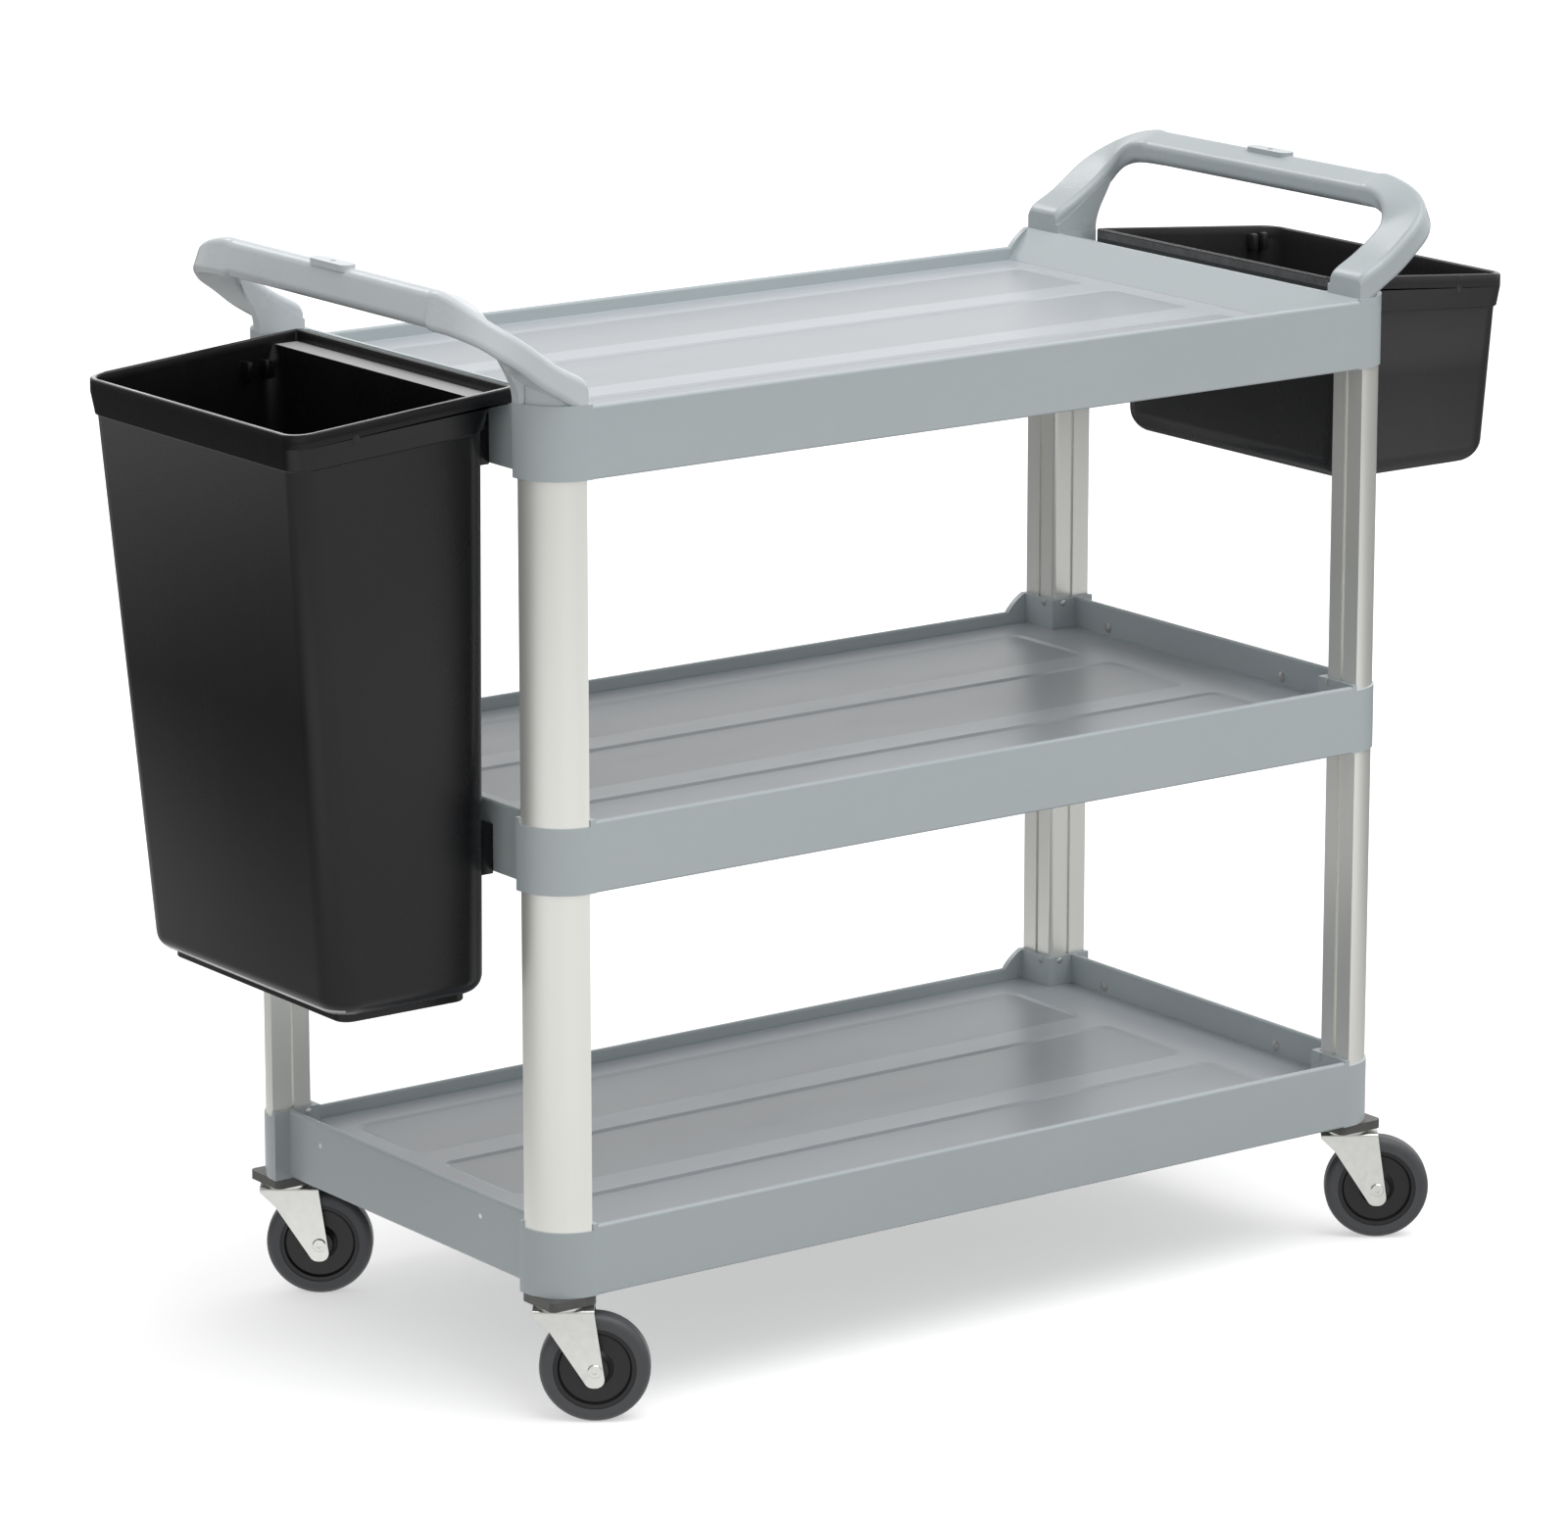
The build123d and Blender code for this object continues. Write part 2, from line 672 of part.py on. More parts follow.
# Bins, drawn on the right of the cart.
rim_run = rim_outer_x - rim_inner_x
rim_fall = rim_inner_height - rim_outer_height
rim_slope = atan2(rim_fall, rim_run)
rim_plane = Plane(
    origin=((rim_inner_x + rim_outer_x) / 2, 0, (rim_inner_height + rim_outer_height) / 2),
    x_dir=(cos(rim_slope), 0, -sin(rim_slope)),
    z_dir=(sin(rim_slope), 0, cos(rim_slope)),
)
body_outer_x = rim_outer_x - collar_step
body_width = rim_width - 2 * collar_step
ledge_base = top_base + ridge_height + hook_gap
above_rim = rim_inner_height + 2 * collar_step
# The inside is cut after the stand-offs, so that they end in the bin's wall.
standoff_reach = bin_back_x - end_x + 3 * bin_wall


def bin_section(back, outer, width, corner, inset):
    """Rounded rectangle between two x values, set in on every side."""
    with BuildSketch() as face:
        with Locations(((back + outer) / 2, 0)):
            RectangleRounded(outer - back - 2 * inset, width - 2 * inset, corner)
    return face.sketch


def hung_bin(bottom, back, outer, width, corner, edge, lower_shelf, ring_height):
    """Open bin that hangs by a lip behind the top shelf's ridge."""
    with BuildPart() as inside:
        with BuildSketch(Plane.XY.offset(bottom + bin_wall)):
            add(bin_section(back, outer, width, corner - bin_wall, bin_wall))
        with BuildSketch(Plane.XY.offset(rim_outer_height)):
            add(bin_section(bin_back_x, body_outer_x, body_width, rim_round - bin_wall, bin_wall))
        loft(ruled=True)
        fillet(inside.edges().group_by(Axis.Z)[0], edge - bin_wall)
    with BuildPart() as body:
        with BuildSketch(Plane.XY.offset(bottom)):
            add(bin_section(back, outer, width, corner, 0))
        with BuildSketch(Plane.XY.offset(rim_outer_height)):
            add(bin_section(bin_back_x, body_outer_x, body_width, rim_round, 0))
        loft(ruled=True)
        fillet(body.edges().group_by(Axis.Z)[0], edge)
        # Foot ring.
        if ring_height > 0:
            with BuildSketch(Plane.XY.offset(bottom)):
                add(bin_section(back, outer, width, corner, refuse_foot_inset))
                add(bin_section(back, outer, width, corner, refuse_foot_inset + bin_wall), mode=Mode.SUBTRACT)
            extrude(amount=-ring_height)
        # Collar.
        with BuildSketch(rim_plane) as collar:
            run = rim_run / cos(rim_slope)
            RectangleRounded(run, rim_width, rim_round)
            with Locations((-run / 2 + (bin_back_x - rim_inner_x) / 2, 0)):
                Rectangle(bin_back_x - rim_inner_x, rim_width + rim_round, mode=Mode.SUBTRACT)
        extrude(amount=-collar_height)
        # Hanger over the ridge, and the lip behind it.
        with BuildSketch(Plane.XY.offset(ledge_base)):
            with Locations(((rim_inner_x + bin_back_x + bin_wall) / 2, 0)):
                Rectangle(bin_back_x + bin_wall - rim_inner_x, rim_width)
        extrude(amount=above_rim - ledge_base)
        with BuildSketch(Plane.XY.offset(ledge_base)):
            with Locations((rim_inner_x + bin_wall / 2, 0)):
                Rectangle(bin_wall, rim_width)
        extrude(amount=-hook_drop)
        # Stand-offs that rest on the shelves' short walls.
        for base in [top_base, lower_shelf]:
            with BuildSketch(Plane.XY.offset(base)):
                for y in (-standoff_spacing, standoff_spacing):
                    with Locations((end_x + hook_gap + standoff_reach / 2, y)):
                        Rectangle(standoff_reach, standoff_width)
            extrude(amount=standoff_height)
        add(inside.part, mode=Mode.SUBTRACT)
        with BuildSketch(Plane.XY.offset(rim_outer_height)):
            add(bin_section(bin_back_x, body_outer_x, body_width, rim_round - bin_wall, bin_wall))
        extrude(amount=above_rim - rim_outer_height, mode=Mode.SUBTRACT)
        with BuildSketch(Plane.XY.offset(ledge_base + bin_wall)):
            with Locations(((rim_inner_x + bin_wall + bin_back_x + rim_round) / 2, 0)):
                inner = bin_back_x + rim_round - rim_inner_x - bin_wall
                Rectangle(inner, body_width - 2 * bin_wall)
        extrude(amount=above_rim - ledge_base, mode=Mode.SUBTRACT)
        # A notch in the collar on each side, with two lugs behind it.
        notch_top = rim_inner_height - rim_fall * (notch_x - rim_inner_x) / rim_run
        for side in (-1, 1):
            with BuildSketch(Plane.XY.offset(notch_top - notch_depth)):
                with Locations((notch_x, side * rim_width / 2)):
                    Rectangle(notch_width, 2 * collar_step)
            extrude(amount=2 * notch_depth, mode=Mode.SUBTRACT)
            with BuildSketch(Plane.XY.offset(notch_top - lug_drop - lug_height)) as lugs:
                for x in (notch_x - lug_spacing / 2, notch_x + lug_spacing / 2):
                    with Locations((x, side * (body_width / 2 - bin_wall))):
                        Rectangle(lug_width, 2 * lug_depth)
            extrude(amount=lug_height)
        # Everything above the sloping rim goes.
        with BuildSketch(rim_plane):
            Rectangle(2 * rim_run, 2 * rim_width)
        extrude(amount=rim_width, mode=Mode.SUBTRACT)
    return body.part


refuse = hung_bin(
    refuse_bottom + refuse_foot_height, bin_back_x, refuse_bottom_outer_x, refuse_bottom_width,
    refuse_bottom_round, refuse_edge_round, shelf_base[1], refuse_foot_height,
)
save(mirror(refuse, about=Plane.YZ), "refuse_bin")
utility = hung_bin(
    utility_bottom, utility_bottom_back_x, utility_bottom_outer_x, utility_bottom_width,
    refuse_bottom_round, utility_edge_round, top_base, 0,
)
save(utility, "utility_bin")
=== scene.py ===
import json
import math

import bpy
import bmesh
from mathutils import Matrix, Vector


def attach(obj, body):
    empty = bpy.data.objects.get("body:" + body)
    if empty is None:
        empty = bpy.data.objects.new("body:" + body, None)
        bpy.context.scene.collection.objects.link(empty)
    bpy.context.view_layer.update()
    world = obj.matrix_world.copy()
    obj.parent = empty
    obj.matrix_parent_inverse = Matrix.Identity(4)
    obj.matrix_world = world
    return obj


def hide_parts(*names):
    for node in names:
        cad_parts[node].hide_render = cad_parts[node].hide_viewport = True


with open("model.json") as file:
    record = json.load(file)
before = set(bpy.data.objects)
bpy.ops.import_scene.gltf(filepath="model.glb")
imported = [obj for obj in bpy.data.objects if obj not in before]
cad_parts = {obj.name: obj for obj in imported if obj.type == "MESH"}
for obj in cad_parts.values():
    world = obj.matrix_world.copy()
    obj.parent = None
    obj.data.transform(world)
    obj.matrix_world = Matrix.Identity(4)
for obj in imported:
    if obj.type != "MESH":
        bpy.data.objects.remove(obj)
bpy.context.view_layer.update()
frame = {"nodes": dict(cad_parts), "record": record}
nodes = frame["nodes"]
print("frame loaded:", len(nodes), "nodes")

camera = {
    "place": (-3.8279, -5.1751, 2.0774),
    "turn": 0.6312,  # radians, from +Y towards +X
    "down": 0.2407,
    "lens": 162.04,
    "sensor": 36.0,
    "farthest": 100.0,
}


def makeCamera(settings):
    data = bpy.data.cameras.new("camera")
    data.sensor_fit = "HORIZONTAL"
    data.sensor_width = settings["sensor"]
    data.lens = settings["lens"]
    data.clip_end = settings["farthest"]
    shot = bpy.data.objects.new("camera", data)
    shot.location = settings["place"]
    shot.rotation_euler = (math.pi / 2 - settings["down"], 0, -settings["turn"])
    bpy.context.scene.collection.objects.link(shot)
    bpy.context.scene.camera = shot


makeCamera(camera)
print("camera placed")


class Wire:  # a node socket that takes part in sums
    def __init__(self, shader, socket):
        self.shader = shader
        self.socket = socket

    def maths(self, operation, *values):
        return self.shader.node("ShaderNodeMath", {"operation": operation}, dict(enumerate(values)))

    def __add__(self, other):
        return self.maths("ADD", self, other)

    def __radd__(self, other):
        return self.maths("ADD", other, self)

    def __sub__(self, other):
        return self.maths("SUBTRACT", self, other)

    def __rsub__(self, other):
        return self.maths("SUBTRACT", other, self)

    def __mul__(self, other):
        return self.maths("MULTIPLY", self, other)

    def __truediv__(self, other):
        return self.maths("DIVIDE", self, other)

    def __lt__(self, other):
        return self.maths("LESS_THAN", self, other)

    def size(self):
        return self.maths("ABSOLUTE", self)

    def least(self, other):
        return self.maths("MINIMUM", self, other)

    def most(self, other):
        return self.maths("MAXIMUM", self, other)


class Shader:
    def __init__(self, name, tree=None):
        self.material = None
        if tree is None:
            self.material = bpy.data.materials.new(name)
            self.material.use_nodes = True
            tree = self.material.node_tree
        self.tree = tree
        self.tree.nodes.clear()

    def node(self, kind, settings=None, inputs=None, output=0):
        made = self.tree.nodes.new(kind)
        for key, value in (settings or {}).items():
            setattr(made, key, value)
        for key, value in (inputs or {}).items():
            if isinstance(value, Wire):
                self.tree.links.new(value.socket, made.inputs[key])
            elif isinstance(value, tuple) and made.inputs[key].type == "RGBA":
                made.inputs[key].default_value = (*value, 1)
            else:
                made.inputs[key].default_value = value
        return Wire(self, made.outputs[output])

    def axes(self, source="Object"):
        spot = self.node("ShaderNodeTexCoord", output=source)
        outputs = self.node("ShaderNodeSeparateXYZ", {}, {0: spot}).socket.node.outputs
        return [Wire(self, outputs[i]) for i in range(3)]

    def noise(self, scale, detail=3.0, rough=0.5, stretch=(1, 1, 1)):
        spot = self.node("ShaderNodeTexCoord", output="Object")
        place = self.node("ShaderNodeMapping", {}, {"Vector": spot, "Scale": stretch})
        return self.node("ShaderNodeTexNoise", {}, {
            "Vector": place, "Scale": scale, "Detail": detail, "Roughness": rough,
        })

    def blend(self, amount, first, second):
        choices = {0: amount, 6: first, 7: second}
        return self.node("ShaderNodeMix", {"data_type": "RGBA"}, choices, 2)

    def ramp(self, value, low, high):
        return self.node("ShaderNodeMapRange", {}, {
            "Value": value, "From Min": low, "From Max": high, "To Min": 0.0, "To Max": 1.0,
        })

    def bump(self, height, strength, distance):
        return self.node("ShaderNodeBump", {}, {
            "Height": height, "Strength": strength, "Distance": distance,
        })

    def show(self, surface, output="ShaderNodeOutputMaterial"):
        end = self.tree.nodes.new(output)
        self.tree.links.new(surface.socket, end.inputs["Surface"])

    def finish(self, **inputs):
        named = {key.replace("_", " "): value for key, value in inputs.items()}
        self.show(self.node("ShaderNodeBsdfPrincipled", {}, named))
        return self.material


def tone(red, green, blue):  # 0 to 255 as seen on a screen, to linear
    def straight(value):
        value = value / 255
        return value / 12.92 if value < 0.04045 else ((value + 0.055) / 1.055) ** 2.4
    return tuple(straight(value) for value in (red, green, blue))


stage = {
    "floorTone": tone(226, 226, 226),
    "floorGlow": 0.47,  # only what the camera sees
    "bounceTone": tone(188, 188, 188),  # what lights the cart from below
    # painted shadow: the light the floor bounces onto the cart is darker close to the cart
    "shadowedBounceTone": tone(84, 84, 84),  # the same, close to the cart
    "shadowedBounceReach": (1.3, 1.0),
    "floorHalf": 40.0,
    "skyLight": 0.73,
    "skyLean": 0.03,  # brighter towards +X, dimmer towards -X
    "sunFrom": (0.15, -0.3, 0.94),
    "sunPower": 1.35,
    "sunSpread": 50,  # degrees
    "mirrored": 0.13,  # how bright the floor is in reflections, away from the pools
    "pools": (  # x, y, reach, and how much brighter a reflection is there
        (-1.0, -2.7, 4.0, 1.1),
        (-0.5, 1.8, 1.0, 0.5),
        (-1.0, 1.2, 0.5, 0.25),
        (-0.1, 0.2, 1.0, 0.8),
        (1.9, -2.4, 1.7, 0.75),
        (-2.7, -0.7, 1.3, 0.6),
    ),
    "skyMirrored": (0.75, 0.35, 0.5, 0.1),  # level, lean in x, lean in x times y, least
    "horizon": (6.0, 1.1),  # narrowness and strength of the band seen in grazing faces
    "rimFrom": (-0.1, 0.78, 0.62),
    "rimPower": 0.4,
    "rimSpread": 22,
}


def raysSeen(shader):  # 1 for what the camera sees, then 1 for what is mirrored or let through
    path = shader.node("ShaderNodeLightPath").socket.node.outputs
    names = ("Is Camera Ray", "Is Glossy Ray", "Is Transmission Ray")
    seen, glossy, through = (Wire(shader, path[name]) for name in names)
    return seen, glossy.most(through)


def makeFloor(settings):
    mesh = bmesh.new()
    bmesh.ops.create_grid(mesh, x_segments=1, y_segments=1, size=settings["floorHalf"])
    data = bpy.data.meshes.new("floor")
    mesh.to_mesh(data)
    mesh.free()
    floor = bpy.data.objects.new("floor", data)
    bpy.context.scene.collection.objects.link(floor)
    shader = Shader("stage floor")
    seen, mirrored = raysSeen(shader)
    matt = shader.node("ShaderNodeBsdfDiffuse", {}, {"Color": settings["floorTone"]})
    glow = shader.node("ShaderNodeEmission", {}, {"Strength": settings["floorGlow"]})
    shown = shader.node("ShaderNodeAddShader", {}, {0: matt, 1: glow})
    across, along, _ = shader.axes()
    reachX, reachY = settings["shadowedBounceReach"]
    beyond = across * across / (reachX * reachX) + along * along / (reachY * reachY)
    # painted shadow: the bounce colour darkens towards the cart
    below = shader.blend(beyond.least(1.0), settings["shadowedBounceTone"], settings["bounceTone"])
    bounce = shader.node("ShaderNodeBsdfDiffuse", {}, {"Color": below})
    level = settings["mirrored"]
    for x, y, reach, lift in settings["pools"]:
        far = ((across - x) * (across - x) + (along - y) * (along - y)) / (reach * reach)
        level = (1 - far).most(0.0) * lift + level
    pools = shader.node("ShaderNodeEmission", {}, {"Color": level, "Strength": 1.0})
    plain = shader.node("ShaderNodeMixShader", {}, {0: seen, 1: bounce, 2: shown})
    shader.show(shader.node("ShaderNodeMixShader", {}, {0: mirrored, 1: plain, 2: pools}))
    data.materials.append(shader.material)


def makeLamps(settings):
    for name in ("sun", "rim"):
        light = bpy.data.lights.new(name, "SUN")
        light.energy = settings[name + "Power"]
        light.angle = math.radians(settings[name + "Spread"])
        lamp = bpy.data.objects.new(name, light)
        lamp.rotation_euler = Vector(settings[name + "From"]).to_track_quat("Z", "Y").to_euler()
        lamp.visible_diffuse = name == "sun"  # the rim light only draws highlights
        bpy.context.scene.collection.objects.link(lamp)


def makeSky(settings):
    world = bpy.data.worlds.new("studio")
    bpy.context.scene.world = world
    world.use_nodes = True
    sky = Shader("studio", world.node_tree)
    seen, mirrored = raysSeen(sky)
    across, along, height = sky.axes("Generated")
    room = settings["skyLight"] + across * settings["skyLean"]
    level, lean, twist, least = settings["skyMirrored"]
    narrow, strong = settings["horizon"]
    glass = (level + across * lean + across * along * twist).most(least)
    band = (1 - height.size() * narrow).most(0.0) * (across * along * strong).most(0.0)
    choices = {0: mirrored, 2: room, 3: glass + band}
    shown = sky.node("ShaderNodeMix", {"data_type": "FLOAT"}, choices)
    light = shown * (1 - seen) + seen
    glow = sky.node("ShaderNodeBackground", {}, {"Color": light, "Strength": 1.0})
    sky.show(glow, "ShaderNodeOutputWorld")


makeFloor(stage)
makeLamps(stage)
makeSky(stage)
bpy.context.scene.view_settings.view_transform = "Standard"
print("stage lit")

# in every look below, a noise is its scale, detail, roughness and stretch
mouldedLook = {
    "grain": (1400.0, 2.0),
    "cloud": (5.0, 4.0),
    "mottle": (70.0, 3.0),
    "scuffs": (38.0, 6.0, 0.7, (0.25, 1, 1)),
    "scuffsFrom": (0.5, 0.95),
    "body": (tone(181, 190, 193), tone(188, 196, 198)),
    "floor": (tone(161, 166, 171), tone(167, 171, 176)),
    # painted highlight: lighter tones for the raised strips between a shelf floor's sunk panels
    "strip": (tone(179, 184, 189), tone(185, 189, 194)),
    "mottled": (0.08, tone(160, 168, 172)),
    "scuffed": (0.12, tone(205, 211, 213)),
    "rough": (0.27, 0.08, 0.12),  # plain, then what the cloud and the scuffs add
    "relief": (0.5, 0.1, 0.0002),  # share of the mottle, strength, distance
    "floorTops": (0.155, 0.5243, 0.8936),
    "floorInside": (0.455, 0.24),  # half the floor's length and width
    "sunk": 0.0015,  # how far the panels lie below the strips
    "floorBand": (0.5, 1.0),  # middle below the top and half height, in depths of a panel
    "stripHighlightBand": (0.3, 0.62),
}


def mouldedGrey(look):
    shader = Shader("moulded grey")
    grain, cloud, mottle = (shader.noise(*look[name]) for name in ("grain", "cloud", "mottle"))
    scuffs = shader.ramp(shader.noise(*look["scuffs"]), *look["scuffsFrom"])
    across, along, height = shader.axes()
    halfLength, halfWidth = look["floorInside"]
    inside = (across.size() < halfLength) * (along.size() < halfWidth)

    def near(band):  # 1 close to a shelf's floor
        middle, half = (value * look["sunk"] for value in look[band])
        bottom, centre, top = ((height - z + middle).size() < half for z in look["floorTops"])
        return bottom.most(centre).most(top) * inside

    colour = shader.blend(cloud, *look["body"])
    # the sunk panels get the floor's tones and the raised strips lighter ones, a painted highlight
    for band, tones in (("floorBand", look["floor"]), ("stripHighlightBand", look["strip"])):
        colour = shader.blend(near(band), colour, shader.blend(cloud, *tones))
    for mask, (share, stain) in ((mottle, look["mottled"]), (scuffs, look["scuffed"])):
        colour = shader.blend(mask * share, colour, stain)
    plain, clouded, scuffed = look["rough"]
    share, strength, distance = look["relief"]
    return shader.finish(
        Base_Color=colour,
        Roughness=plain + cloud * clouded + scuffs * scuffed,
        Normal=shader.bump(grain + mottle * share, strength, distance),
    )


handleHighlightLook = {
    "grain": (1500.0, 2.0),
    "cloud": (9.0, 4.0),
    "flow": (26.0, 4.0, 0.6, (1, 0.3, 1)),
    # painted highlight: the left handle is given lighter tones than the right one, though both are
    # the same grey plastic
    "left": (tone(200, 207, 210), tone(211, 216, 218)),
    "right": (tone(176, 185, 187), tone(187, 194, 197)),
    "rough": (0.2, 0.12),
    "relief": (0.4, 0.08, 0.0006),  # share of the grain, strength, distance
}


def handleGrey(look, side):
    shader = Shader(side + " handle grey")
    grain, cloud, flow = (shader.noise(*look[name]) for name in ("grain", "cloud", "flow"))
    plain, flowing = look["rough"]
    share, strength, distance = look["relief"]
    return shader.finish(
        Base_Color=shader.blend(cloud, *look[side]),
        Roughness=plain + flow * flowing,
        Normal=shader.bump(grain * share + flow, strength, distance),
    )


binLook = {
    "grain": (1600.0, 2.0),
    "cloud": (6.0, 4.0),
    "scuffs": (30.0, 6.0, 0.7, (1, 1, 0.3)),
    "scuffsFrom": (0.5, 0.95),
    "scuffed": (0.08, tone(50, 50, 52)),
    "refuse": (tone(16, 16, 18), tone(21, 21, 23)),
    "utility": (tone(44, 44, 45), tone(52, 52, 53)),
    "rough": (0.24, 0.06, 0.05),
    "specular": 0.32,
    "relief": (0.04, 0.0002),
}


def binBlack(look, which):
    shader = Shader(which + " bin black")
    grain, cloud = (shader.noise(*look[name]) for name in ("grain", "cloud"))
    scuffs = shader.ramp(shader.noise(*look["scuffs"]), *look["scuffsFrom"])
    share, stain = look["scuffed"]
    plain, clouded, scuffed = look["rough"]
    return shader.finish(
        Base_Color=shader.blend(scuffs * share, shader.blend(cloud, *look[which]), stain),
        Roughness=plain + cloud * clouded + scuffs * scuffed,
        Specular_IOR_Level=look["specular"],
        Normal=shader.bump(grain, *look["relief"]),
    )


uprightLook = {
    "drawn": (700.0, 3.0, 0.6, (1, 1, 0.01)),
    "cloud": (8.0,),
    "specks": (2200.0, 1.0),
    "tones": (tone(236, 236, 230), tone(243, 243, 238)),
    "metallic": 0.6,
    "rough": (0.3, 0.05, 0.04),
    "relief": (0.3, 0.03, 0.0002),  # share of the specks, strength, distance
}


def anodised(look):
    shader = Shader("anodised uprights")
    drawn, cloud, specks = (shader.noise(*look[name]) for name in ("drawn", "cloud", "specks"))
    plain, streaked, clouded = look["rough"]
    share, strength, distance = look["relief"]
    return shader.finish(
        Base_Color=shader.blend((drawn + cloud) / 2, *look["tones"]),
        Metallic=look["metallic"],
        Roughness=plain + drawn * streaked + cloud * clouded,
        Normal=shader.bump(drawn + specks * share, strength, distance),
    )


zincLook = {
    "spots": (120.0, 4.0),
    "stains": (45.0, 5.0, 0.7),
    "stainsFrom": (0.58, 0.75),
    "tones": (tone(198, 199, 195), tone(220, 221, 216)),
    "stained": (0.3, tone(168, 166, 158)),
    "metallic": 0.9,
    "rough": (0.24, 0.12, 0.1),
    "relief": (0.05, 0.0003),
}


def zincPlate(look):
    shader = Shader("zinc plate")
    spots = shader.noise(*look["spots"])
    stains = shader.ramp(shader.noise(*look["stains"]), *look["stainsFrom"])
    share, stain = look["stained"]
    plain, spotted, stained = look["rough"]
    return shader.finish(
        Base_Color=shader.blend(stains * share, shader.blend(spots, *look["tones"]), stain),
        Metallic=look["metallic"],
        Roughness=plain + spots * spotted + stains * stained,
        Normal=shader.bump(spots, *look["relief"]),
    )


smoothLook = {
    "cloud": (90.0, 4.0),
    "contrast": None,  # the part of the cloud that the tones span, where not all of it
    "grain": (1500.0,),
    "tones": (tone(20, 20, 21), tone(28, 28, 30)),
    "rough": (0.33, 0.15),
    "specular": 0.4,
    "relief": (0.06, 0.0002),
}
# painted light: a lighter grey for the lip's band on the black bins, as if that face were lit
litBandLook = {**smoothLook, "tones": (tone(58, 58, 60), tone(104, 104, 106))}
padLook = {**smoothLook, "tones": (tone(74, 74, 73), tone(98, 98, 95))}
treadLook = {
    **smoothLook,
    "cloud": (60.0, 4.0),
    "tones": (tone(68, 69, 72), tone(84, 85, 88)),
    "rough": (0.42, 0.15),
    "specular": 0.5,
    "relief": (0.1, 0.0002),
}
# painted highlight: light tones for the bin's outer rim top and lower edge
edgeHighlightLook = {
    "cloud": (16.0, 4.0, 0.6),
    "contrast": (0.3, 0.7),
    "grain": (1600.0, 2.0),
    "tones": (tone(150, 150, 152), tone(236, 236, 236)),
    "rough": (0.2, 0.1),
    "specular": 0.5,
    "relief": (0.04, 0.0002),
}
# painted sheen: a light grey for the black bin's ledge and the front of its rim
ledgeSheenLook = {
    "cloud": (40.0, 4.0, 0.6, (1, 0.2, 1)),
    "contrast": None,
    "grain": (900.0, 3.0),
    "tones": (tone(165, 165, 166), tone(205, 205, 205)),
    "rough": (0.3, 0.15),
    "specular": 0.5,
    "relief": (0.1, 0.0002),
}


def smoothPlastic(name, look):
    shader = Shader(name)
    cloud, grain = shader.noise(*look["cloud"]), shader.noise(*look["grain"])
    spread = shader.ramp(cloud, *look["contrast"]) if look["contrast"] else cloud
    plain, clouded = look["rough"]
    return shader.finish(
        Base_Color=shader.blend(spread, *look["tones"]),
        Roughness=plain + cloud * clouded,
        Specular_IOR_Level=look["specular"],
        Normal=shader.bump(grain, *look["relief"]),
    )


refuseBlack = binBlack(binLook, "refuse")
utilityBlack = binBlack(binLook, "utility")
paintedSheenGrey = smoothPlastic("bin ledge painted sheen", ledgeSheenLook)
paintedHighlightEdge = smoothPlastic("bin edge painted highlight", edgeHighlightLook)
litBandGrey = smoothPlastic("bin band painted light", litBandLook)
padGrey = smoothPlastic("pad grey", padLook)
finishes = {  # by slot
    "grey_moulding": mouldedGrey(mouldedLook),
    "upright_aluminium": anodised(uprightLook),
    "bin_plastic": refuseBlack,
    "black_plastic": smoothPlastic("smooth black", smoothLook),
    "grey_tread": smoothPlastic("grey tread", treadLook),
    "zinc_steel": zincPlate(zincLook),
}
own = {  # by node, in place of its slot's
    # the left handle's lighter finish is a painted highlight
    "handle_left": handleGrey(handleHighlightLook, "left"),
    "handle_right": handleGrey(handleHighlightLook, "right"),
}
for corner in ("front_left", "front_right", "back_left", "back_right"):
    own["caster_pad_" + corner] = padGrey
for part in frame["record"]["subparts"]:
    data = nodes[part["node"]].data
    data.materials.clear()
    data.materials.append(own.get(part["node"], finishes[part["material_slot"]]))
print("finishes given")

